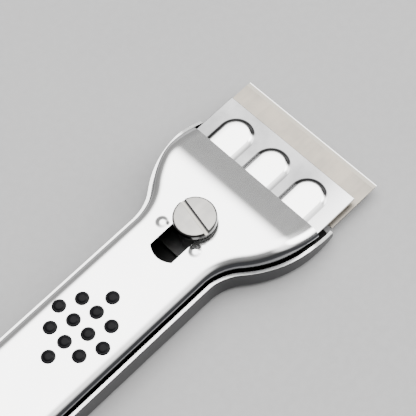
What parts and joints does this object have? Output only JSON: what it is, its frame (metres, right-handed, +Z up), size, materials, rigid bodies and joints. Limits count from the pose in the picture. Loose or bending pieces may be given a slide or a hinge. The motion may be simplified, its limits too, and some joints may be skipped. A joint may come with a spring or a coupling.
{
  "type": "retractable blade scraper",
  "caption": "Pressed steel hand scraper with a flared head, a sliding single-edge blade, a slotted clamp screw, rubber grip studs and a hanging eyelet.",
  "frame": {"origin": "bottom centre of the bounding box, on the plane that the tray lies on", "axes": "+X along the tool towards the cutting edge, +Y to its left, +Z up through the cover"},
  "size_m": [0.145, 0.0414, 0.0135],
  "materials": {
    "cover_steel": "polished stainless steel with a fine brushed grain",
    "tray_steel": "polished stainless steel, satin inside",
    "guard_steel": "bright pressed stainless steel",
    "inner_steel": "dull zinc-plated pressed steel",
    "spring_steel": "blue-grey spring steel",
    "blade_steel": "ground carbon steel with a warm oil film",
    "spine_steel": "folded steel strip",
    "screw_nickel": "nickel-plated, turned face",
    "rivet_steel": "bright set rivet",
    "eyelet_nickel": "nickel-plated eyelet",
    "grip_rubber": "matte black moulded rubber"
  },
  "bodies": {
    "handle": {"bottom_tray": "tray_steel", "top_cover": "cover_steel", "guard_plate": "guard_steel", "blade_bed": "inner_steel", "bed_rivets": "rivet_steel", "grip_pad": "grip_rubber", "pad_seat": "inner_steel", "front_stay": "inner_steel", "rear_stay": "inner_steel", "seat_rivets": "rivet_steel", "hang_eyelet": "eyelet_nickel", "eyelet_washer": "eyelet_nickel", "eyelet_spacer": "inner_steel"},
    "carrier": {"carrier_plate": "inner_steel", "blade": "blade_steel", "blade_spine": "spine_steel", "blade_clip": "spring_steel", "carrier_rivets": "rivet_steel", "threaded_pillar": "screw_nickel"},
    "washer": {"captive_washer": "screw_nickel"},
    "screw": {"clamp_screw": "screw_nickel"}
  },
  "joints": [
    {"name": "carrier_slide", "type": "slide", "parent": "handle", "child": "carrier", "axis": [-1, 0, 0], "range_m": [0, 0.0093]},
    {"name": "screw_rise", "type": "slide", "parent": "carrier", "child": "washer", "axis": [0, 0, 1], "range_m": [-0.0007, 0.0007]},
    {"name": "screw_turn", "type": "hinge", "parent": "washer", "child": "screw", "pos_m": [0.0369, 0, 0.012], "axis": [0, 0, 1], "range_deg": [-362, 362]}
  ],
  "couplings": [
    {"joint": "screw_turn", "follows": "screw_rise", "rad_per_m": 8976}
  ]
}
